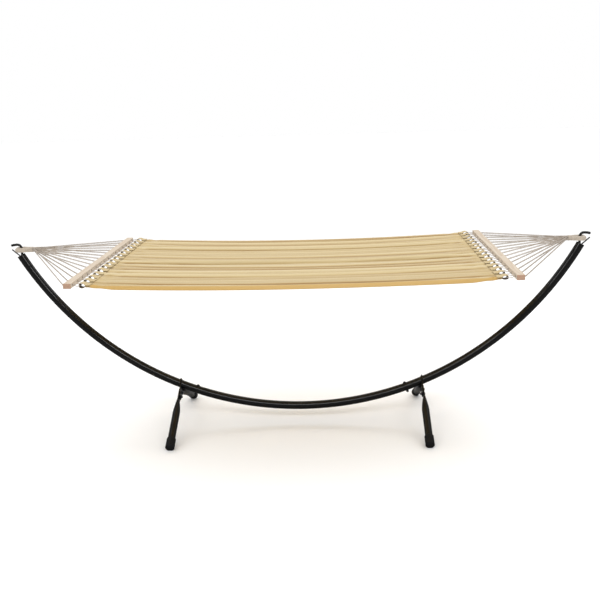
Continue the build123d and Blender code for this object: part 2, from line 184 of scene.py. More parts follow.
def skin_rings(rings, closed_path=False):
    """Vertices and faces that join equal rings of points into a tube, with a fan at each open end."""
    count, size = len(rings), len(rings[0])
    verts = np.asarray(rings).reshape(-1, 3)
    turns = count if closed_path else count - 1
    start = (np.arange(turns) * size)[:, None]
    after = ((np.arange(turns) + 1) % count * size)[:, None]
    here = np.arange(size)[None, :]
    there = (here + 1) % size
    quads = np.stack([start + here, start + there, after + there, after + here], axis=-1)
    faces = quads.reshape(-1, 4).tolist()
    if not closed_path:
        middles = np.array([np.mean(rings[0], axis=0), np.mean(rings[-1], axis=0)])
        near, far = len(verts), len(verts) + 1
        last = (count - 1) * size
        faces += [(near, (i + 1) % size, i) for i in range(size)]
        faces += [(far, last + i, last + (i + 1) % size) for i in range(size)]
        verts = np.concatenate([verts, middles])
    return verts, faces


def join_meshes(parts):
    """Several (verts, faces) pairs as one."""
    verts, faces, start = [], [], 0
    for part_verts, part_faces in parts:
        verts.append(np.asarray(part_verts))
        faces += [[i + start for i in face] for face in part_faces]
        start += len(part_verts)
    return np.concatenate(verts), faces


print("helpers ready")

# %% [markdown]
# ## Shared surface effects
# Some effects turn up in more than one finish: fine relief, drifting tone, twisted fibres, a plain
# weave, wood grain. Each is a node group, built once, with named inputs and outputs, and each
# material places it with its own values. Points are read in object space, which is the object's own
# frame, so a pattern stays with its piece when the hammock swings.

# %% Node group helpers
def new_group(name, inputs, outputs):
    """A shader node group with named inputs and outputs."""
    group = bpy.data.node_groups.new(name, "ShaderNodeTree")
    for socket_name, kind, default in inputs:
        socket = group.interface.new_socket(socket_name, in_out="INPUT", socket_type=kind)
        socket.default_value = default
    for socket_name, kind in outputs:
        group.interface.new_socket(socket_name, in_out="OUTPUT", socket_type=kind)
    start = group.nodes.new("NodeGroupInput")
    end = group.nodes.new("NodeGroupOutput")
    return group, start, end


def add_node(tree, kind, settings=None, links=None, values=None):
    """Add a node, set its properties, link its inputs and set plain input values."""
    node = tree.nodes.new(kind)
    for key, value in (settings or {}).items():
        setattr(node, key, value)
    for key, source in (links or {}).items():
        tree.links.new(source, node.inputs[key])
    for key, value in (values or {}).items():
        node.inputs[key].default_value = value
    return node


def math_node(tree, operation, first, second=0.0):
    """A Math node's output; each operand is a socket or a number."""
    node = tree.nodes.new("ShaderNodeMath")
    node.operation = operation
    for slot_index, operand in enumerate((first, second)):
        if isinstance(operand, (int, float)):
            node.inputs[slot_index].default_value = operand
        else:
            tree.links.new(operand, node.inputs[slot_index])
    return node.outputs[0]


def mix_colours(tree, share, first, second):
    """Mix two colours by a share; each is a socket or an (r, g, b, a) value."""
    node = tree.nodes.new("ShaderNodeMix")
    node.data_type = "RGBA"
    for key, operand in ((0, share), (6, first), (7, second)):
        if isinstance(operand, (int, float, tuple)):
            node.inputs[key].default_value = operand
        else:
            tree.links.new(operand, node.inputs[key])
    return node.outputs[2]


print("node helpers ready")

# %% [markdown]
# ### Fine relief and drifting tone
# Powder coat has a faint orange-peel skin, moulded plastic a spark-eroded grain, cord a fuzz of
# fibres. All three are a fine noise with its own size. The tone of any real surface also drifts
# over tens of millimetres. Two noises of very different size, put out as separate values, cover it.

# %% Group: fine relief
FLOAT = "NodeSocketFloat"

relief_inputs = [("Grain Size", FLOAT, 0.001), ("Patch Size", FLOAT, 0.05)]
relief_outputs = [("Height", FLOAT), ("Patch", FLOAT)]
fine_relief, source, sink = new_group("fine_relief", relief_inputs, relief_outputs)
place = add_node(fine_relief, "ShaderNodeTexCoord").outputs["Object"]
for size_name, result_name, detail in (("Grain Size", "Height", 2.0), ("Patch Size", "Patch", 4.0)):
    scale = math_node(fine_relief, "DIVIDE", 1.0, source.outputs[size_name])
    noise_links = {"Vector": place, "Scale": scale}
    noise = add_node(fine_relief, "ShaderNodeTexNoise", None, noise_links, {"Detail": detail})
    fine_relief.links.new(noise.outputs["Fac"], sink.inputs[result_name])
print("group", fine_relief.name)

# %% [markdown]
# ### Plain weave
# The bed is plain-woven cotton: each yarn goes over one crossing yarn and under the next. Two sine
# waves across the yarns, swapped by a checker, give that height. The yarns are also uneven in
# thickness and dye, which shows as faint streaks along the hammock.

# %% Group: plain weave
weave_inputs = [("Yarn", FLOAT, 0.0011), ("Streak Width", FLOAT, 0.012)]
weave_outputs = [("Height", FLOAT), ("Streak", FLOAT)]
plain_weave, source, sink = new_group("plain_weave", weave_inputs, weave_outputs)
place = add_node(plain_weave, "ShaderNodeTexCoord").outputs["Object"]
split = add_node(plain_weave, "ShaderNodeSeparateXYZ", None, {0: place})
waves = []
for axis in ("X", "Y"):
    turns = math_node(plain_weave, "DIVIDE", split.outputs[axis], source.outputs["Yarn"])
    waves.append(math_node(plain_weave, "SINE", math_node(plain_weave, "MULTIPLY", turns, pi)))
both = math_node(plain_weave, "MULTIPLY", waves[0], waves[1])
over = math_node(plain_weave, "MULTIPLY_ADD", both, 0.5)
over.node.inputs[2].default_value = 0.5
plain_weave.links.new(over, sink.inputs["Height"])
stretch = add_node(plain_weave, "ShaderNodeVectorMath", {"operation": "MULTIPLY"}, {0: place})
stretch.inputs[1].default_value = (0.04, 1.0, 1.0)
scale = math_node(plain_weave, "DIVIDE", 1.0, source.outputs["Streak Width"])
streaks = add_node(
    plain_weave, "ShaderNodeTexNoise", None, {"Vector": stretch.outputs[0], "Scale": scale}, {"Detail": 3.0}
)
plain_weave.links.new(streaks.outputs["Fac"], sink.inputs["Streak"])
print("group", plain_weave.name)

# %% [markdown]
# ### Wood grain
# A bar is sawn from a log, so its growth rings are slices of long cylinders. Rings around a pith
# line a little below the bar, bent by a slow noise, show as long flames on the faces and as arcs on
# the ends without any special case. Fine pores are a noise stretched along the bar.

# %% Group: wood grain
grain_inputs = [("Ring Spacing", FLOAT, 0.0032), ("Pith Depth", FLOAT, 0.05)]
grain_outputs = [("Rings", FLOAT), ("Pores", FLOAT)]
wood_grain, source, sink = new_group("wood_grain", grain_inputs, grain_outputs)
place = add_node(wood_grain, "ShaderNodeTexCoord").outputs["Object"]
long_way = add_node(wood_grain, "ShaderNodeVectorMath", {"operation": "MULTIPLY"}, {0: place})
long_way.inputs[1].default_value = (1.0, 0.06, 1.0)
bend = add_node(
    wood_grain, "ShaderNodeTexNoise", None, {"Vector": long_way.outputs[0]}, {"Scale": 22.0, "Detail": 2.0}
)
split = add_node(wood_grain, "ShaderNodeSeparateXYZ", None, {0: place})
beside = math_node(wood_grain, "SUBTRACT", math_node(wood_grain, "ABSOLUTE", split.outputs["X"]), BAR_U)
above = math_node(wood_grain, "SUBTRACT", split.outputs["Z"], BAR_Z)
above = math_node(wood_grain, "ADD", above, source.outputs["Pith Depth"])
squares = [math_node(wood_grain, "MULTIPLY", value, value) for value in (beside, above)]
radius = math_node(wood_grain, "SQRT", math_node(wood_grain, "ADD", squares[0], squares[1]))
wander = math_node(wood_grain, "MULTIPLY", bend.outputs["Fac"], 0.022)
bent_radius = math_node(wood_grain, "ADD", radius, wander)
turns = math_node(wood_grain, "DIVIDE", bent_radius, source.outputs["Ring Spacing"])
year = math_node(wood_grain, "FRACT", turns)
wood_grain.links.new(math_node(wood_grain, "POWER", year, 2.5), sink.inputs["Rings"])
pores = add_node(
    wood_grain, "ShaderNodeTexNoise", None, {"Vector": long_way.outputs[0]}, {"Scale": 900.0, "Detail": 1.0}
)
wood_grain.links.new(pores.outputs["Fac"], sink.inputs["Pores"])
print("group", wood_grain.name)

# %% [markdown]
# ## Finishes
# Each material is a Principled shader fed by those groups. A number that is the same all over a
# surface, such as sheen or the coat's roughness, is set on the shader's own socket.

# %% Material helpers
def new_material(name, **constants):
    """A material with a Principled shader, whose constant inputs are set by name."""
    material = bpy.data.materials.new(name)
    material.use_nodes = True
    shader = material.node_tree.nodes["Principled BSDF"]
    for key, value in constants.items():
        shader.inputs[key.replace("_", " ")].default_value = value
    return material, material.node_tree, shader


def place_group(tree, group, **values):
    """Place a node group in a material with its own values."""
    node = tree.nodes.new("ShaderNodeGroup")
    node.node_tree = group
    for key, value in values.items():
        node.inputs[key.replace("_", " ")].default_value = value
    return node


def value_range(tree, value, low, high):
    """Spread a 0 to 1 value over the range low to high."""
    node = add_node(tree, "ShaderNodeMapRange", None, {"Value": value}, {"To Min": low, "To Max": high})
    return node.outputs["Result"]


def relief_bump(tree, shader, height, distance, strength=1.0):
    """Feed a height, in metres at full strength, to the shader's normal."""
    amounts = {"Distance": distance, "Strength": strength}
    bump = add_node(tree, "ShaderNodeBump", None, {"Height": height}, amounts)
    tree.links.new(bump.outputs["Normal"], shader.inputs["Normal"])


print("material helpers ready")

# %% [markdown]
# ### Black powder coat
# The stand's steel is powder coated: a black plastic skin about a tenth of a millimetre thick, baked
# on. It is smooth enough for a soft highlight line along each tube, with a faint orange peel. The
# gloss drifts a little, where the powder went on thicker or the coat has been handled.

# %% Materials: steel, fasteners, plastic
powder_coat, tree, shader = new_material(
    "black_powder_coat", Specular_IOR_Level=0.14, Coat_Roughness=0.08, Coat_IOR=1.5
)
relief = place_group(tree, fine_relief, Grain_Size=0.0016, Patch_Size=0.09)
tone = mix_colours(
    tree, relief.outputs["Patch"], (0.0015, 0.0015, 0.0015, 1.0), (0.0034, 0.0034, 0.0035, 1.0)
)
tree.links.new(tone, shader.inputs["Base Color"])
tree.links.new(value_range(tree, relief.outputs["Patch"], 0.26, 0.44), shader.inputs["Roughness"])
tree.links.new(value_range(tree, relief.outputs["Patch"], 0.75, 0.45), shader.inputs["Coat Weight"])
relief_bump(tree, shader, relief.outputs["Height"], 0.00005)

fastener_finish, tree, shader = new_material("blackened_fasteners", Metallic=0.6, Specular_IOR_Level=0.3)
relief = place_group(tree, fine_relief, Grain_Size=0.0007, Patch_Size=0.006)
tone = mix_colours(tree, relief.outputs["Patch"], (0.008, 0.008, 0.009, 1.0), (0.05, 0.05, 0.055, 1.0))
tree.links.new(tone, shader.inputs["Base Color"])
tree.links.new(value_range(tree, relief.outputs["Patch"], 0.5, 0.28), shader.inputs["Roughness"])
relief_bump(tree, shader, relief.outputs["Height"], 0.00004)

foot_plastic, tree, shader = new_material("moulded_foot_plastic", Specular_IOR_Level=0.16)
relief = place_group(tree, fine_relief, Grain_Size=0.0009, Patch_Size=0.03)
tone = mix_colours(tree, relief.outputs["Patch"], (0.004, 0.004, 0.0045, 1.0), (0.011, 0.011, 0.0115, 1.0))
tree.links.new(tone, shader.inputs["Base Color"])
tree.links.new(value_range(tree, relief.outputs["Patch"], 0.42, 0.62), shader.inputs["Roughness"])
relief_bump(tree, shader, relief.outputs["Height"], 0.00012)
print("steel, fastener and plastic finishes made")

# %% [markdown]
# ### Pale wood
# The bars are planed, unvarnished softwood: cream with tan rings, a little pinker in patches. End
# grain drinks in dirt and light, so the last millimetres at each end are darker and redder.

# %% Material: bar wood
END_GRAIN_DEPTH = 0.0022

bar_wood, tree, shader = new_material("pale_bar_wood", Specular_IOR_Level=0.3)
grain = place_group(tree, wood_grain, Ring_Spacing=0.0036, Pith_Depth=0.045)
relief = place_group(tree, fine_relief, Grain_Size=0.0006, Patch_Size=0.12)
tone = mix_colours(tree, relief.outputs["Patch"], (0.66, 0.59, 0.48, 1.0), (0.58, 0.48, 0.37, 1.0))
ring_share = value_range(tree, grain.outputs["Rings"], 0.0, 0.42)
tone = mix_colours(tree, ring_share, tone, (0.42, 0.27, 0.17, 1.0))
pore_share = value_range(tree, grain.outputs["Pores"], -0.1, 0.3)
tone = mix_colours(tree, pore_share, tone, (0.44, 0.33, 0.24, 1.0))
place = add_node(tree, "ShaderNodeTexCoord").outputs["Object"]
across = add_node(tree, "ShaderNodeSeparateXYZ", None, {0: place}).outputs["Y"]
from_end = math_node(tree, "GREATER_THAN", math_node(tree, "ABSOLUTE", across), bar_high.y - END_GRAIN_DEPTH)
end_share = math_node(tree, "MULTIPLY", from_end, 0.7)
tone = mix_colours(tree, end_share, tone, (0.29, 0.13, 0.07, 1.0))
tree.links.new(tone, shader.inputs["Base Color"])
tree.links.new(value_range(tree, grain.outputs["Pores"], 0.5, 0.72), shader.inputs["Roughness"])
relief_bump(tree, shader, math_node(tree, "ADD", grain.outputs["Rings"], grain.outputs["Pores"]), 0.00012)
print("wood made")

# %% [markdown]
# ### Cloth, cord and thread
# Cotton scatters light from the fuzz on its surface, which the sheen inputs stand for. The meshes
# carry a value called relief, from 0 deep in a fold or between two strands to 1 on top. The colour is
# painted darker and browner towards 0: painted shade in the fold valleys, between a cord's strands
# and between a binding's turns. On the bed, relief above the plain sheet's value is a painted
# highlight on the fold crests. The bed also carries a value called hem, where the long edges are
# folded double and tinted a deeper gold, and the tabs one called inside, a painted shade on the inner
# face of their loops.

# %% Materials: cloth, cord, rope and thread
def fibre_material(name, deep, low, high, roughness, grain_size, bump):
    """Cord or rope: tone by fibre noise, and painted shade where the mesh's relief is low."""
    material, tree, shader = new_material(
        name, Sheen_Weight=0.25, Sheen_Roughness=0.5, Specular_IOR_Level=0.2
    )
    relief = place_group(tree, fine_relief, Grain_Size=grain_size, Patch_Size=0.03)
    tone = mix_colours(tree, relief.outputs["Patch"], low, high)
    height = add_node(tree, "ShaderNodeAttribute", {"attribute_name": "relief"}).outputs["Fac"]
    # painted shade: darker and browner where the relief is low, between strands and between turns
    tone = mix_colours(tree, height, deep, tone)
    tree.links.new(tone, shader.inputs["Base Color"])
    rough = value_range(tree, relief.outputs["Height"], roughness - 0.08, roughness + 0.08)
    tree.links.new(rough, shader.inputs["Roughness"])
    relief_bump(tree, shader, relief.outputs["Height"], bump)
    return material


cord_cotton = fibre_material(
    "cord_cotton", (0.22, 0.18, 0.14, 1.0), (0.50, 0.43, 0.36, 1.0),
    (0.66, 0.58, 0.50, 1.0), 0.8, 0.0008, 0.0002
)
rope_cotton = fibre_material(
    "rope_cotton", (0.18, 0.145, 0.11, 1.0), (0.42, 0.36, 0.29, 1.0),
    (0.56, 0.49, 0.41, 1.0), 0.85, 0.001, 0.0003
)
thread = fibre_material(
    "sewing_thread", (0.30, 0.22, 0.10, 1.0), (0.50, 0.38, 0.18, 1.0),
    (0.60, 0.48, 0.26, 1.0), 0.6, 0.0005, 0.0001
)

PLAIN_RELIEF = 0.65

bed_cloth, tree, shader = new_material(
    "bed_cloth", Sheen_Weight=0.2, Sheen_Roughness=0.45, Specular_IOR_Level=0.2
)
weave = place_group(tree, plain_weave, Yarn=0.0012, Streak_Width=0.011)
relief = place_group(tree, fine_relief, Grain_Size=0.0005, Patch_Size=0.16)
tone = mix_colours(tree, weave.outputs["Streak"], (0.42, 0.295, 0.12, 1.0), (0.58, 0.46, 0.25, 1.0))
patch_share = value_range(tree, relief.outputs["Patch"], 0.0, 0.35)
tone = mix_colours(tree, patch_share, tone, (0.52, 0.41, 0.21, 1.0))
# painted shade: the low points of the weave, between crossing yarns, are darker
weave_gap_shade = value_range(tree, weave.outputs["Height"], 0.16, 0.0)
tone = mix_colours(tree, weave_gap_shade, tone, (0.32, 0.22, 0.09, 1.0))
height = add_node(tree, "ShaderNodeAttribute", {"attribute_name": "relief"}).outputs["Fac"]
# painted shade: the fold valleys, where relief is low, are darker and browner
from_deep = math_node(tree, "DIVIDE", height, PLAIN_RELIEF)
tone = mix_colours(tree, from_deep, (0.25, 0.125, 0.03, 1.0), tone)
# painted highlight: relief above the plain sheet's value lightens the fold crests
crest_highlight = math_node(tree, "SUBTRACT", height, PLAIN_RELIEF)
tone = mix_colours(tree, math_node(tree, "MULTIPLY", crest_highlight, 1.5), tone, (0.66, 0.56, 0.345, 1.0))
# hem: the long hems, folded double, are tinted a deeper, stronger gold
HEM_TINT = (0.50, 0.30, 0.085, 1.0)
TAB_INSIDE_SHADE = (0.10, 0.055, 0.02, 1.0)
# inside: painted shade on the inner face of each tab's loop
for mark_name, share, tint in (("hem", 0.75, HEM_TINT), ("inside", 1.0, TAB_INSIDE_SHADE)):
    mark = add_node(tree, "ShaderNodeAttribute", {"attribute_name": mark_name}).outputs["Fac"]
    tone = mix_colours(tree, math_node(tree, "MULTIPLY", mark, share), tone, tint)
tree.links.new(tone, shader.inputs["Base Color"])
tree.links.new(value_range(tree, weave.outputs["Height"], 0.92, 0.74), shader.inputs["Roughness"])
relief_bump(tree, shader, weave.outputs["Height"], 0.00025)
print("cloth, cord, rope and thread made")

# %% [markdown]
# ## The stand and the bars
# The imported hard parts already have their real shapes, so each only gets its finish.

# %% Finish the hard parts
FINISH_BY_SLOT = {
    "black_steel": powder_coat,
    "fasteners": fastener_finish,
    "foot_plastic": foot_plastic,
    "bar_wood": bar_wood,
}
for subpart in frame["record"]["subparts"]:
    finish = FINISH_BY_SLOT.get(subpart["material_slot"])
    if finish:
        nodes[subpart["node"]].data.materials[0] = finish
hard_parts = [s for s in frame["record"]["subparts"] if s["material_slot"] in FINISH_BY_SLOT]
print("finished", len(hard_parts), "hard parts")

# %% [markdown]
# ### Weld beads
# The bracket plates are welded all round the arc tube. A weld is laid as a row of small overlapping
# puddles, so the bead is a round ring of metal whose thickness rises and falls along its path. Where
# a bent tube crosses an upright plate the path is an ellipse, a little taller than it is wide.

# %% Bracket welds
ARC_RADIUS = 1.622
ARC_CENTRE_Z = 1.712
TUBE_R = 0.021
WELD_R = 0.0027
WELD_STEPS = 150
WELD_PUDDLES = 50
WELD_RING = 8


def weld_bead(x):
    """Bead round the arc tube in the upright plane at x, as (verts, faces)."""
    lean = asin(abs(x) / ARC_RADIUS)
    middle_z = ARC_CENTRE_Z - sqrt(ARC_RADIUS**2 - x**2)
    turn = 2 * pi * np.arange(WELD_STEPS) / WELD_STEPS
    girth = WELD_R * (1 + 0.13 * np.cos(turn * WELD_PUDDLES))
    around = 2 * pi * np.arange(WELD_RING) / WELD_RING
    rings = []
    for t, r in zip(turn, girth):
        outward = np.array((0.0, cos(t), sin(t) / cos(lean)))
        middle = np.array((x, 0.0, middle_z)) + TUBE_R * outward
        offset = np.cos(around)[:, None] * outward + np.sin(around)[:, None] * (1.0, 0.0, 0.0)
        rings.append(middle + r * offset)
    return skin_rings(np.array(rings), closed_path=True)


for side_name, side in SIDES:
    plate_low, plate_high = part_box(f"{side_name}_leg_bracket")
    verts, faces = join_meshes([weld_bead(plate_low.x), weld_bead(plate_high.x)])
    welds = add_piece(f"{side_name}_bracket_welds", verts, faces, powder_coat, "stand")
print("weld bead faces per bracket:", len(faces))

# %% [markdown]
# ## Suspension cords
# Each cord is one length of laid cotton, doubled: it leaves the neck, runs down the fan, through its
# hole in the bar, round through the cloth tab, and all the way back. A bevelled curve would be a
# smooth pipe, so the cord is skinned as what it is: three strands laid round each other, which is a
# three-lobed ring that turns as it goes along. Extra control points close to the bar and the neck
# keep the long taut stretches straight.

# %% Route of one cord
STRAND_GAP = 0.0039
HOLE_GAP = 0.0043
FAN_COLUMNS = (2, 3, 3, 3, 3, 2)
FAN_START = 0.009
INTO_WHIPPING = 0.006
MOUTH = 0.008
TAB_ENTRY = 0.007
LOOP_SHOULDER = (0.957, 0.0275, 0.0008)
LOOP_CORNER = (0.9435, 0.0240)
LOOP_MIDDLE_Y = 0.0155
NEAR_CORNER = 0.015


def neck_places():
    """Where each cord's pair of strands leaves the whipping, as (y, z), from front to back."""
    places = []
    middle = (len(FAN_COLUMNS) - 1) / 2
    for column, count in enumerate(FAN_COLUMNS):
        for row in range(count):
            rise = (row - (count - 1) / 2) * 2 * STRAND_GAP
            places.append(((column - middle) * STRAND_GAP, SWING_Z + rise))
    return places


def cord_route(index):
    """Control points of one cord at the right-hand end: out, round through its tab and back."""
    hole_y = cord_y(index)
    neck_y, neck_z = neck_places()[index]
    mouth_u = BAR_U + BAR_HALF + MOUTH
    exit_u = BAR_U - BAR_HALF - TAB_ENTRY
    fan_u = NECK_INNER_U - FAN_START
    angle = atan(abs(hole_y - neck_y) / (fan_u - mouth_u))
    widest = (len(FAN_COLUMNS) - 1) / 2 * STRAND_GAP
    fan_u -= (widest - abs(neck_y)) * tan(angle / 2)
    out, back = [], []
    for strand, way in ((out, 1), (back, -1)):
        fan = Vector((fan_u, neck_y, neck_z + way * STRAND_GAP / 2))
        mouth = Vector((mouth_u, hole_y, BAR_Z + way * HOLE_GAP / 2))
        run = (mouth - fan).normalized()
        strand.append(Vector((NECK_INNER_U + INTO_WHIPPING, neck_y, fan.z)))
        strand.append(fan)
        strand.append(fan + run * NEAR_CORNER)
        strand.append(mouth - run * NEAR_CORNER)
        strand.append(mouth)
        strand.append(Vector((mouth_u - MOUTH, hole_y, mouth.z)))
        strand.append(Vector((exit_u + MOUTH, hole_y, mouth.z)))
        strand.append(Vector((exit_u, hole_y, mouth.z)))
        shoulder_u, spread, rise = LOOP_SHOULDER
        strand.append(Vector((shoulder_u, hole_y + way * spread, BAR_Z + way * rise)))
        corner_u, half_width = LOOP_CORNER
        strand.append(Vector((corner_u, hole_y + way * half_width, BAR_Z)))
        strand.append(Vector((corner_u, hole_y + way * LOOP_MIDDLE_Y, BAR_Z)))
    return out + back[::-1]


print("control points per cord:", len(cord_route(0)))

# %% [markdown]
# ### Laid rope as a mesh
# The ring has nine points, three for each strand. Turning it by exactly one point each step keeps
# the faces running along the strands, so few faces give crisp ones.

# %% Skin of a laid cord
STRANDS = 3
RING_POINTS = 9
LAY_LENGTH = 0.0145
VALLEY = 0.78


def laid_cord(path, radius):
    """Rings of a three-strand cord along a path, and how far out each point is, from 0 to 1."""
    path = even_steps(path, LAY_LENGTH / RING_POINTS)
    sides, rises = path_frames(path, (0.0, 0.0, 1.0))
    around = 2 * pi * np.arange(RING_POINTS) / RING_POINTS
    turned = around[None, :] + 2 * pi * np.arange(len(path))[:, None] / RING_POINTS
    lobe = (0.5 + 0.5 * np.cos(STRANDS * around)) ** 0.7
    reach = radius * (VALLEY + (1 - VALLEY) * lobe)
    offset = np.cos(turned)[..., None] * sides[:, None, :] + np.sin(turned)[..., None] * rises[:, None, :]
    rings = path[:, None, :] + offset * reach[None, :, None]
    # outness becomes the cord's relief, which paints shade between the strands
    outness = np.concatenate([np.tile(lobe, len(path)), [0.5, 0.5]])
    return rings, outness


cord_lengths = []
for side_name, side in SIDES:
    for index in range(CORD_COUNT):
        route = [Vector((side * p.x, p.y, p.z)) for p in cord_route(index)]
        path = smooth_route(route)
        cord_lengths.append(float(np.linalg.norm(np.diff(path, axis=0), axis=1).sum()))
        rings, outness = laid_cord(path, CORD_D / 2)
        verts, faces = skin_rings(rings)
        node = f"{side_name}_cord_{index + 1:02d}"
        name = f"{side_name}_laid_cord_{index + 1:02d}"
        cord = add_piece(name, verts, faces, cord_cotton, "hammock", {"relief": outness})
        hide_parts(node)
print("cord lengths, left end:", [round(length, 3) for length in cord_lengths[:CORD_COUNT]])

# %% [markdown]
# ## Eyes and whippings
# The eye is a loop of the cords' own ends, bound all the way round with more cord, so its skin is a
# close row of turns. The whipping that closes it is the same binding over an oval bundle. Both are
# rings whose radius swells and dips once for each turn of the binding.

# %% Eyes
EYE_RADII = (0.0118, 0.0104)
EYE_SLACK = 0.0008
WRAP_PITCH = 0.0036
WRAP_DEPTH = 0.0012
WRAP_STEPS = 6
EYE_HALF_WIDTH = (eye_high.y - eye_low.y) / 2 - EYE_RADII[1] + EYE_SLACK
EYE_OUTER_U = eye_high.x - EYE_RADII[1]
EYE_THROAT_Y = 0.0116
EYE_THROAT_U = 1.386
EYE_FLARE_U = 1.402


def wrapped_skin(path, radii, points=28, wobble_seed=3):
    """Rings along a path that swell and dip with each turn of a wrapped cord."""
    sides, rises = path_frames(path, (0.0, 0.0, 1.0))
    steps = np.arange(len(path))
    around = 2 * pi * np.arange(points) / points
    phase = 2 * pi * steps[:, None] / WRAP_STEPS + around[None, :]
    rng = np.random.default_rng(wobble_seed)
    loose = rng.normal(0.0, 0.00012, len(path))[:, None]
    bulge = np.sqrt(np.abs(np.cos(phase / 2)))
    reach = 1.0 - (1.0 - bulge) * WRAP_DEPTH / np.asarray(radii)[:, None, :].mean(axis=-1)
    offsets = np.cos(around)[None, :, None] * sides[:, None, :] * np.asarray(radii)[:, None, :1]
    offsets = offsets + np.sin(around)[None, :, None] * rises[:, None, :] * np.asarray(radii)[:, None, 1:]
    rings = path[:, None, :] + offsets * (reach + loose / 0.012)[..., None]
    # outness becomes the relief, which paints shade in the dips between turns
    outness = np.concatenate([bulge.reshape(-1), [0.5, 0.5]])
    return rings, outness


def eye_route(side):
    """Control points of an eye, from one leg at the whipping round the hook to the other."""
    half = [
        (NECK_OUTER_U - INTO_WHIPPING, EYE_THROAT_Y),
        (EYE_THROAT_U, EYE_THROAT_Y),
        (EYE_FLARE_U, EYE_HALF_WIDTH),
        (EYE_OUTER_U - 0.012, EYE_HALF_WIDTH + 0.0015),
        (EYE_OUTER_U + 0.0015, EYE_HALF_WIDTH - 0.004),
    ]
    points = [Vector((side * u, -y, SWING_Z)) for u, y in half]
    points += [Vector((side * u, y, SWING_Z)) for u, y in reversed(half)]
    return points


for side_name, side in SIDES:
    path = even_steps(smooth_route(eye_route(side)), WRAP_PITCH / WRAP_STEPS)
    rings, outness = wrapped_skin(path, [EYE_RADII] * len(path))
    verts, faces = skin_rings(rings)
    eye = add_piece(f"{side_name}_bound_eye", verts, faces, rope_cotton, "hammock", {"relief": outness})
    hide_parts(f"{side_name}_eye")
print("eye rope rings:", len(path))

# %% [markdown]
# ### Whippings
# A whipping is an oval at the eye, where two legs lie side by side, and round where the cords leave.

# %% Whippings
WHIP_OUTER = (0.0125, 0.0238)
WHIP_INNER = (0.0140, 0.0140)
WHIP_TUCK = 0.0015

for side_name, side in SIDES:
    outer_u, inner_u = NECK_OUTER_U + WHIP_TUCK, NECK_INNER_U
    line = np.array([(side * u, 0.0, SWING_Z) for u in (outer_u, inner_u)])
    path = even_steps(line, WRAP_PITCH / WRAP_STEPS)
    share = np.linspace(0.0, 1.0, len(path))[:, None]
    radii = np.array(WHIP_OUTER) * (1 - share) + np.array(WHIP_INNER) * share
    rings, outness = wrapped_skin(path, radii, points=40, wobble_seed=5)
    verts, faces = skin_rings(rings)
    name = f"{side_name}_bound_neck"
    whipping = add_piece(name, verts, faces, rope_cotton, "hammock", {"relief": outness})
    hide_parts(f"{side_name}_whipping")
print("whipping rings:", len(path))

# %% [markdown]
# ## The cloth bed
# The bed is one cut of cloth, a little wider than the room between its outermost tabs, with long
# folds that run from bar to bar. No cloth simulation is used: the folds are laid on as formulas,
# without drawing the cloth in, so the hung sheet has about 6% more area than its flat cut. There are
# broad folds that begin between two tabs and drift towards each other at mid span, finer ripples
# that fade in and out, and small crumples near the tabs. The long edges roll over and hang down.

# %% Flat cut and shape of the bed
BED_U = 0.926
BED_SAG = 0.021
CLOTH_HALF_WIDTH = 0.604
EDGE_START = 0.583
EDGE_ROLL_R = 0.007
EDGE_TURN = radians(81)
CORNER_RELEASE = 0.7
EDGE_CREASES = ((0.561, 0.0078, 0.0072), (0.536, 0.0060, 0.008))
SPAN_POINTS = 191
CROSS_POINTS = 249
CLOTH_T = 0.0011
HEM_T = 0.0030
HEM_WIDTH = 0.022
END_HEM = 0.030
WAIST = 0.012
CROSS_SAG = 0.006
SCALLOP_ZONE = 0.035
SCALLOP_DIP = 0.004
SCALLOP_DRAW = 0.010
RELIEF_SPAN = 0.0075


def bump(value, width):
    """A rounded bump of height 1 at zero, that fades over the width."""
    return np.exp(-((value / width) ** 2))


def ease(value, low, high):
    """0 below low, 1 above high, smooth between."""
    share = np.clip((value - low) / (high - low), 0.0, 1.0)
    return share * share * (3 - 2 * share)


def fold_height(x, s):
    """Height of the folds over the plain sheet, for places along (x) and across (s) the cut."""
    rng = np.random.default_rng(11)
    along = x / BED_U
    middle = 1 - along**2
    body = 1 - ease(np.abs(along), 0.78, 1.0)
    height = np.zeros_like(x)
    for gap in range(CORD_COUNT - 1):
        start = cord_y(gap) + CORD_PITCH / 2
        drift = rng.uniform(-0.030, 0.030)
        depth = 0.0026 + 0.0120 * rng.uniform(0.0, 1.0) ** 1.6
        width = rng.uniform(0.007, 0.016)
        bend = rng.uniform(-0.022, 0.022)
        lean = rng.choice((-1.0, 1.0))
        centre = start + drift * middle + bend * along * middle
        valley = -depth * bump(s - centre, width)
        shoulder = 0.6 * depth * bump(s - centre - 2.3 * lean * width, 1.6 * width)
        height += (valley + shoulder) * (0.25 + 0.75 * body)
    for _ in range(34):
        centre = rng.uniform(-0.56, 0.56) + rng.uniform(-0.02, 0.02) * along
        reach = rng.uniform(0.25, 0.9)
        where = rng.uniform(-0.7, 0.7)
        ripple = bump(s - centre, rng.uniform(0.004, 0.009)) * bump(along - where, reach)
        height += rng.uniform(-0.0026, 0.0018) * ripple
    for place, depth, width in EDGE_CREASES:
        wander = 0.004 * np.sin(5.0 * along + place * 90)
        height -= depth * bump(np.abs(s) - place - wander, width) * (0.35 + 0.65 * body)
    return height


def crumple(x, s):
    """Small creases that spread from the tabs into the cloth's ends."""
    rng = np.random.default_rng(23)
    near_end = ease(np.abs(x), BED_U - 0.17, BED_U - 0.02)
    height = np.zeros_like(x)
    for _ in range(46):
        angle = rng.uniform(-0.7, 0.7)
        wave = rng.uniform(70.0, 210.0)
        phase = rng.uniform(0.0, 2 * pi)
        height += np.sin(wave * (s * cos(angle) + np.abs(x) * sin(angle)) + phase)
    return 0.00030 * height * near_end


print("cloth", 2 * CLOTH_HALF_WIDTH, "m wide before it was hung")

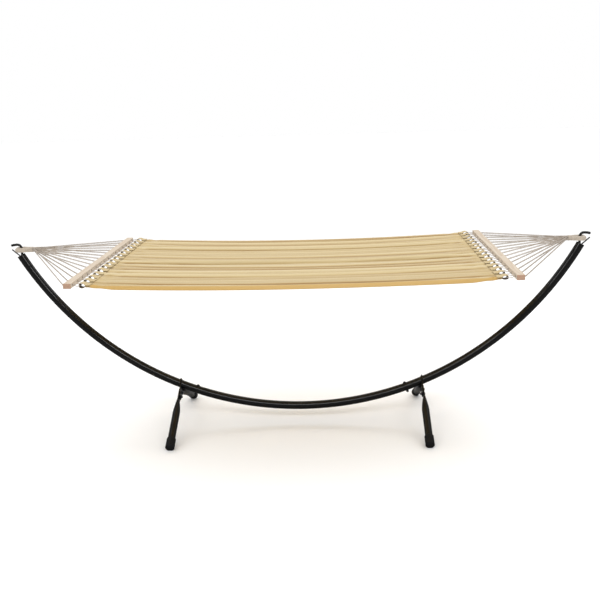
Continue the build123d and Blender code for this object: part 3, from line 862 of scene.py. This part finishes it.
# %% [markdown]
# ### From the flat cut to the hung sheet
# Each grid point starts at its place on the flat cut. Across the hammock it lies flat as far as the
# edge roll, then turns down round a small radius and hangs. Between two tabs the end of the cloth
# slackens, so it dips and draws back in a shallow scallop. The sheet gets a top and a bottom skin,
# further apart in the hems, where the cloth is folded double.

# %% Build the sheet
def hang(x, s, side_offset):
    """Middle surface of the hung cloth, pushed out along its rough normal by side_offset."""
    along = x / BED_U
    beyond = np.maximum(np.abs(s) - EDGE_START, 0.0)
    turn = np.minimum(beyond / EDGE_ROLL_R, EDGE_TURN)
    hanging = np.maximum(beyond - EDGE_ROLL_R * EDGE_TURN, 0.0)
    out = EDGE_ROLL_R * np.sin(turn) + hanging * cos(EDGE_TURN)
    drop = EDGE_ROLL_R * (1 - np.cos(turn)) + hanging * sin(EDGE_TURN)
    release = 1 - CORNER_RELEASE * ease(np.abs(along), 0.84, 1.0)
    out = out * release + 0.5 * beyond * (1 - release)
    y = np.sign(s) * (np.minimum(np.abs(s), EDGE_START) + out)
    waist = 1 - WAIST * (1 - along**2)
    z = BAR_Z - BED_SAG * (1 - along**2) - CROSS_SAG * (1 - (s / CLOTH_HALF_WIDTH) ** 2) * (1 - along**4)
    z = z - drop * release + fold_height(x, s) + crumple(x, s)
    at_end = ease(np.abs(x), BED_U - SCALLOP_ZONE, BED_U)
    scallop = np.sin(pi * (s - cord_y(0)) / CORD_PITCH) ** 2 * at_end
    z = z - SCALLOP_DIP * scallop
    x = x - np.sign(x) * SCALLOP_DRAW * scallop
    normal_y = np.sign(s) * np.sin(turn) * release
    normal_z = np.cos(turn * release)
    return np.stack([x, y * waist + side_offset * normal_y, z + side_offset * normal_z], axis=-1)


x_line = np.linspace(-BED_U, BED_U, SPAN_POINTS)
s_line = np.linspace(-CLOTH_HALF_WIDTH, CLOTH_HALF_WIDTH, CROSS_POINTS)
grid_x, grid_s = np.meshgrid(x_line, s_line, indexing="ij")
hem_share = np.maximum(
    ease(np.abs(grid_s), CLOTH_HALF_WIDTH - HEM_WIDTH - 0.002, CLOTH_HALF_WIDTH - HEM_WIDTH + 0.002),
    ease(np.abs(grid_x), BED_U - END_HEM - 0.004, BED_U - END_HEM + 0.004),
)
half_thick = (CLOTH_T + (HEM_T - CLOTH_T) * hem_share) / 2
top = hang(grid_x, grid_s, half_thick)
bottom = hang(grid_x, grid_s, -half_thick)
sheet_verts = np.concatenate([top.reshape(-1, 3), bottom.reshape(-1, 3)])

grid_index = np.arange(SPAN_POINTS * CROSS_POINTS).reshape(SPAN_POINTS, CROSS_POINTS)
corners = [grid_index[:-1, :-1], grid_index[1:, :-1], grid_index[1:, 1:], grid_index[:-1, 1:]]
top_faces = np.stack(corners, axis=-1).reshape(-1, 4)
bottom_faces = top_faces[:, ::-1] + grid_index.size
rim_sides = [grid_index[:-1, 0], grid_index[-1, :-1], grid_index[:0:-1, -1], grid_index[0, :0:-1]]
rim = np.concatenate(rim_sides)
after = np.roll(rim, -1)
rim_faces = np.stack([after, rim, rim + grid_index.size, after + grid_index.size], axis=-1)
sheet_faces = np.concatenate([top_faces, bottom_faces, rim_faces]).tolist()

folds = fold_height(grid_x, grid_s)
# relief: fold height, which the cloth turns into painted shade in valleys and a painted highlight on crests
relief_value = np.clip(PLAIN_RELIEF + folds / RELIEF_SPAN, 0.0, 1.0).reshape(-1)
HEM_FADE = 0.006
hem_line = CLOTH_HALF_WIDTH - HEM_WIDTH
long_hem = ease(np.abs(grid_s), hem_line, hem_line + HEM_FADE).reshape(-1)
marks = {"relief": np.tile(relief_value, 2), "hem": np.tile(long_hem, 2)}
sheet = add_piece("bed_sheet", sheet_verts, sheet_faces, bed_cloth, "hammock", marks)
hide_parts("fabric_bed")
print("sheet faces:", len(sheet_faces), "height range:", sheet_verts[:, 2].min(), sheet_verts[:, 2].max())

# %% [markdown]
# ### Sewn tabs
# Each tab is a strap of the same cloth, folded double round the cord's loop and sewn to the bed's
# end hem. It is a flat ring of points swept round a drop-shaped path, a little wider at the hem
# than at the tip, where the cord gathers it. A small random squeeze keeps them from looking cloned.

# %% Tabs
TAB_WIDTH = 0.042
TAB_FLARE = 0.34
TAB_T = 0.0019
TAB_SECTION = 14
# a little above the plain sheet's relief, so the tabs get a faint painted highlight
TAB_RELIEF = 0.7


def tab_profile(squeeze):
    """Control points (u, height) of a tab, from the top of the hem round the cord and back."""
    half = [
        (0.898, 0.0027),
        (0.909, 0.0029),
        (0.920, 0.0036),
        (0.928, 0.0100 * squeeze),
        (0.939, 0.0108 * squeeze),
        (0.9490, 0.0072 * squeeze),
    ]
    return half + [(u, -z) for u, z in reversed(half)]


def flat_ring(width, thickness, pinch):
    """A flat oval of points across a strap, as (across, out)."""
    around = 2 * pi * np.arange(TAB_SECTION) / TAB_SECTION
    across = width / 2 * np.sign(np.cos(around)) * np.abs(np.cos(around)) ** 0.55
    out = thickness / 2 * np.sign(np.sin(around)) * np.abs(np.sin(around)) ** 0.8
    return across, out + pinch * np.cos(2 * pi * across / width)


def build_tab(side, index, rng):
    """One tab: its vertices, faces and inside marks, and the path along its middle."""
    squeeze = rng.uniform(0.78, 1.08)
    lean = rng.uniform(-0.0012, 0.0012)
    middle_y = cord_y(index)
    points = [Vector((side * u, middle_y, BAR_Z + z + lean)) for u, z in tab_profile(squeeze)]
    path = even_steps(smooth_route(points), 0.0022)
    sides, rises = path_frames(path, (0.0, 1.0, 0.0))
    tip_share = ease(np.abs(path[:, 0]), 0.915, 0.946)
    flare = ease(np.abs(path[:, 0]), 0.936, 0.912)
    rings, inside = [], []
    for place, side_way, rise, tip, wide in zip(path, sides, rises, tip_share, flare):
        across, out = flat_ring(TAB_WIDTH * (1 - 0.12 * tip + TAB_FLARE * wide), TAB_T, 0.0005 * tip)
        rings.append(place + across[:, None] * side_way + out[:, None] * rise)
        # inside: painted shade on the loop's inner face, beyond the tab's root
        inside.append(np.where(side * out < 0, ease(abs(place[0]), 0.914, 0.924), 0.0))
    verts, faces = skin_rings(np.array(rings))
    return verts, faces, np.append(np.concatenate(inside), [0.0, 0.0]), path


rng = np.random.default_rng(31)
tab_paths = []
for side_name, side in SIDES:
    tabs = [build_tab(side, index, rng) for index in range(CORD_COUNT)]
    verts, faces = join_meshes([tab[:2] for tab in tabs])
    inside = np.concatenate([tab[2] for tab in tabs])
    marks = {"relief": np.full(len(verts), TAB_RELIEF), "inside": inside}
    tab_row = add_piece(f"{side_name}_bed_tabs", verts, faces, bed_cloth, "hammock", marks)
    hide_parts("fabric_bed")
    tab_paths += [tab[3] for tab in tabs]
print("tab faces per end:", len(faces))

# %% [markdown]
# ### Stitching
# Lockstitch shows as a row of short thread capsules, each sunk a little in the cloth. Two rows cross
# each tab, above and below, and one runs along each hem. They are real geometry, so they catch the
# light from any side.

# %% Stitches
STITCH_LENGTH = 0.0036
STITCH_PITCH = 0.0052
STITCH_R = 0.00042
STITCH_RING = 6
SEAM_INSET = 0.003
SEAM_MARGIN = 0.004
SEAM_POINTS = 400
PROBE = 0.001


def stitch(start, end, out):
    """One thread capsule from start to end, arched a little along out."""
    start, end, out = np.array(start), np.array(end), np.array(out)
    shares = np.array([0.0, 0.12, 0.5, 0.88, 1.0])
    girths = np.array([0.15, 0.8, 1.0, 0.8, 0.15]) * STITCH_R
    lifts = np.array([-0.5, 0.1, 0.45, 0.1, -0.5]) * STITCH_R
    path = start + shares[:, None] * (end - start) + lifts[:, None] * out
    sides, rises = path_frames(path, out)
    around = 2 * pi * np.arange(STITCH_RING) / STITCH_RING
    rings = [
        p + g * (np.cos(around)[:, None] * s + np.sin(around)[:, None] * r)
        for p, g, s, r in zip(path, girths, sides, rises)
    ]
    return skin_rings(np.array(rings))


def stitch_row(points, outs):
    """A stitch for every STITCH_PITCH along a dense row of points."""
    gaps = np.linalg.norm(np.diff(points, axis=0), axis=1)
    along = np.concatenate([[0.0], np.cumsum(gaps)])
    starts = np.arange(STITCH_PITCH / 2, along[-1] - STITCH_LENGTH, STITCH_PITCH)

    def at(distance, rows):
        return np.array([np.interp(distance, along, rows[:, axis]) for axis in range(3)])

    return [stitch(at(d, points), at(d + STITCH_LENGTH, points), at(d, outs)) for d in starts]


seams = []
for s_row in (-CLOTH_HALF_WIDTH + HEM_WIDTH - SEAM_INSET, CLOTH_HALF_WIDTH - HEM_WIDTH + SEAM_INSET):
    x_row = np.linspace(-BED_U + SEAM_MARGIN, BED_U - SEAM_MARGIN, SEAM_POINTS)
    on_top = hang(x_row, np.full(SEAM_POINTS, s_row), HEM_T / 2)
    further = hang(x_row, np.full(SEAM_POINTS, s_row), HEM_T / 2 + PROBE)
    seams += stitch_row(on_top, (further - on_top) / PROBE)
for x_row in (-BED_U + END_HEM - SEAM_INSET, BED_U - END_HEM + SEAM_INSET):
    s_dense = np.linspace(-CLOTH_HALF_WIDTH + SEAM_MARGIN, CLOTH_HALF_WIDTH - SEAM_MARGIN, SEAM_POINTS)
    for face_side in (-1, 1):
        on_face = hang(np.full(SEAM_POINTS, x_row), s_dense, face_side * HEM_T / 2)
        seams += stitch_row(on_face, np.tile((0.0, 0.0, float(face_side)), (SEAM_POINTS, 1)))
verts, faces = join_meshes(seams)
hem_seams = add_piece("hem_stitching", verts, faces, thread, "hammock", {"relief": np.ones(len(verts))})
print("hem stitches:", len(seams))

# %% [markdown]
# ### Rows across the tabs
# Two short rows cross each strap near its root, on its upper and its lower face.

# %% Stitches across the tabs
TAB_ROWS = (0.903, 0.911)
ROW_HALF = 0.019

seams = []
for path in tab_paths:
    half_way = len(path) // 2
    for face_side, leg in ((1, path[:half_way]), (-1, path[:half_way - 1:-1])):
        for row_u in TAB_ROWS:
            on_strap = leg[np.argmin(np.abs(np.abs(leg[:, 0]) - row_u))]
            row = np.tile(on_strap, (2, 1))
            row[:, 1] += (-ROW_HALF, ROW_HALF)
            row[:, 2] += face_side * TAB_T / 2
            seams += stitch_row(row, np.tile((0.0, 0.0, float(face_side)), (2, 1)))
verts, faces = join_meshes(seams)
tab_seams = add_piece("tab_stitching", verts, faces, thread, "hammock", {"relief": np.ones(len(verts))})
print("tab stitches:", len(seams))

# %% [markdown]
# ## Stage and light
# The stand is shown on a white floor in a white studio. The room is a dome that is brightest
# overhead, so the floor is evenly lit right to the horizon and the folds still have a bright and a
# shaded slope. Polished black tubes would mirror the whole room and look grey, so floor and room are
# dim for mirror rays, and one long lamp in front draws their highlight line.

# %% Floor
FLOOR_HALF = 30.0

floor_material, tree, shader = new_material("pale_floor", Roughness=0.9, Specular_IOR_Level=0.1)
relief = place_group(tree, fine_relief, Grain_Size=0.02, Patch_Size=1.5)
tone = mix_colours(tree, relief.outputs["Patch"], (0.95, 0.95, 0.95, 1.0), (0.97, 0.97, 0.97, 1.0))
mirror_ray = add_node(tree, "ShaderNodeLightPath").outputs["Is Glossy Ray"]
tone = mix_colours(tree, mirror_ray, tone, (0.2, 0.2, 0.2, 1.0))
tree.links.new(tone, shader.inputs["Base Color"])
floor_mesh = bpy.data.meshes.new("floor")
floor_corners = [(-1, -1), (1, -1), (1, 1), (-1, 1)]
floor_verts = [(x * FLOOR_HALF, y * FLOOR_HALF, 0.0) for x, y in floor_corners]
floor_mesh.from_pydata(floor_verts, [], [(0, 1, 2, 3)])
floor_mesh.materials.append(floor_material)
floor = bpy.data.objects.new("floor", floor_mesh)
bpy.context.scene.collection.objects.link(floor)
print("floor", 2 * FLOOR_HALF, "m wide")

# %% [markdown]
# ### Room light
# The dome gets brighter with height. Mirror rays see a dim room, and the camera sees plain white.

# %% Room light
ROOM_LOW = 0.35
ROOM_HIGH = 1.45
MIRROR_SHARE = 0.3

world = bpy.data.worlds.new("studio")
world.use_nodes = True
tree = world.node_tree
direction = add_node(tree, "ShaderNodeTexCoord").outputs["Generated"]
height = add_node(tree, "ShaderNodeSeparateXYZ", None, {0: direction}).outputs["Z"]
ray = add_node(tree, "ShaderNodeLightPath")
room = value_range(tree, height, ROOM_LOW, ROOM_HIGH)
room = math_node(tree, "MULTIPLY", room, value_range(tree, ray.outputs["Is Glossy Ray"], 1.0, MIRROR_SHARE))
room = math_node(tree, "MULTIPLY", room, value_range(tree, ray.outputs["Is Camera Ray"], 1.0, 0.0))
room = math_node(tree, "ADD", room, ray.outputs["Is Camera Ray"])
backdrop = tree.nodes["Background"]
backdrop.inputs["Color"].default_value = (1.0, 1.0, 1.0, 1.0)
tree.links.new(room, backdrop.inputs["Strength"])
bpy.context.scene.world = world
bpy.context.scene.view_settings.view_transform = "Standard"
print("room light from", ROOM_LOW, "at the horizon to", ROOM_HIGH, "overhead")

# %% [markdown]
# ### Lamps
# A wide soft lamp hangs behind and above, and a long narrow one stands in front.

# %% Lamps
def area_light(name, place, target, size, power):
    """A rectangular soft light at a place, facing a target point."""
    lamp = bpy.data.lights.new(name, "AREA")
    lamp.shape = "RECTANGLE"
    lamp.size, lamp.size_y = size
    lamp.energy = power
    holder = bpy.data.objects.new(name, lamp)
    bpy.context.scene.collection.objects.link(holder)
    aim = (Vector(target) - Vector(place)).to_track_quat("-Z", "Y")
    holder.matrix_world = Matrix.Translation(Vector(place)) @ aim.to_matrix().to_4x4()


area_light("overhead", (0.0, 2.6, 3.6), (0.0, 0.0, 0.5), (7.0, 2.2), 60.0)
area_light("front_strip", (0.0, -4.6, 3.6), (0.0, 0.0, 0.5), (8.0, 0.5), 125.0)
print("lamps ready")
